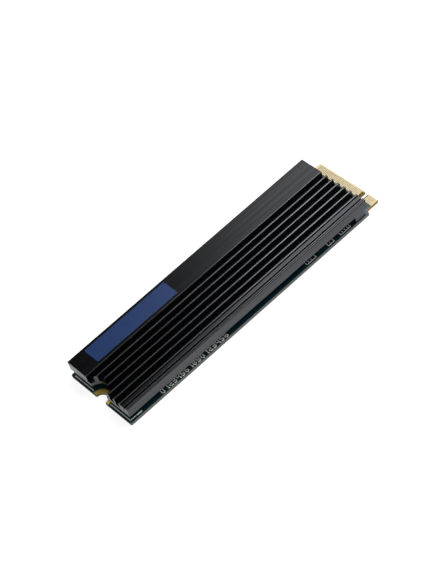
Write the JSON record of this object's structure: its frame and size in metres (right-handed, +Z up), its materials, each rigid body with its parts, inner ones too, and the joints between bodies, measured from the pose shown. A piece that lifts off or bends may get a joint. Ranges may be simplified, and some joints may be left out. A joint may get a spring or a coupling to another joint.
{
  "type": "gumstick solid state drive",
  "caption": "Gumstick solid state drive: a keyed circuit board with chips under a full-length black finned heatsink, with a half-round screw notch at one end.",
  "frame": {"origin": "centre of the bounding box's base, on the surface that the drive lies on", "axes": "+Y along the board from the screw notch to the edge connector, +Z up through the heatsink's fins, +X to the right seen from the notch end"},
  "size_m": [0.022, 0.08, 0.0057],
  "materials": {
    "solder_mask": "near-black green solder mask over glass-epoxy laminate, gold-plated fingers and notch",
    "black_anodised_aluminium": "extruded, black anodised, satin",
    "blue_label_film": "printed film label, plain blue",
    "thermal_silicone": "soft filled silicone, matte",
    "mould_compound": "black epoxy mould compound, matte, on tin solder balls or leads",
    "ferrite": "pressed iron-powder body, matte, with tinned ends",
    "barium_titanate": "fired ceramic body with tinned end caps",
    "resistor_glaze": "black glazed ceramic chip with tinned ends",
    "tantalum_moulding": "dark moulded capacitor body with tinned tabs",
    "nickel_lid": "ceramic base with a nickel-plated lid"
  },
  "bodies": {
    "root": {"cache_memory": "mould_compound", "ceramic_capacitor_1": "barium_titanate", "ceramic_capacitor_10": "barium_titanate", "ceramic_capacitor_11": "barium_titanate", "ceramic_capacitor_12": "barium_titanate", "ceramic_capacitor_2": "barium_titanate", "ceramic_capacitor_3": "barium_titanate", "ceramic_capacitor_4": "barium_titanate", "ceramic_capacitor_5": "barium_titanate", "ceramic_capacitor_6": "barium_titanate", "ceramic_capacitor_7": "barium_titanate", "ceramic_capacitor_8": "barium_titanate", "ceramic_capacitor_9": "barium_titanate", "chip_resistor_1": "resistor_glaze", "chip_resistor_2": "resistor_glaze", "chip_resistor_3": "resistor_glaze", "chip_resistor_4": "resistor_glaze", "chip_resistor_5": "resistor_glaze", "chip_resistor_6": "resistor_glaze", "chip_resistor_7": "resistor_glaze", "chip_resistor_8": "resistor_glaze", "circuit_board": "solder_mask", "clock_crystal": "nickel_lid", "controller": "mould_compound", "firmware_memory": "mould_compound", "flash_memory_1": "mould_compound", "flash_memory_2": "mould_compound", "heatsink": "black_anodised_aluminium", "heatsink_label": "blue_label_film", "holdup_capacitor_1": "tantalum_moulding", "holdup_capacitor_2": "tantalum_moulding", "holdup_capacitor_3": "tantalum_moulding", "holdup_capacitor_4": "tantalum_moulding", "holdup_capacitor_5": "tantalum_moulding", "holdup_capacitor_6": "tantalum_moulding", "load_switch": "mould_compound", "power_inductor_1": "ferrite", "power_inductor_2": "ferrite", "power_inductor_3": "ferrite", "power_manager": "mould_compound", "temperature_sensor": "mould_compound", "thermal_pad_cache": "thermal_silicone", "thermal_pad_controller": "thermal_silicone", "thermal_pad_flash": "thermal_silicone"}
  },
  "joints": []
}
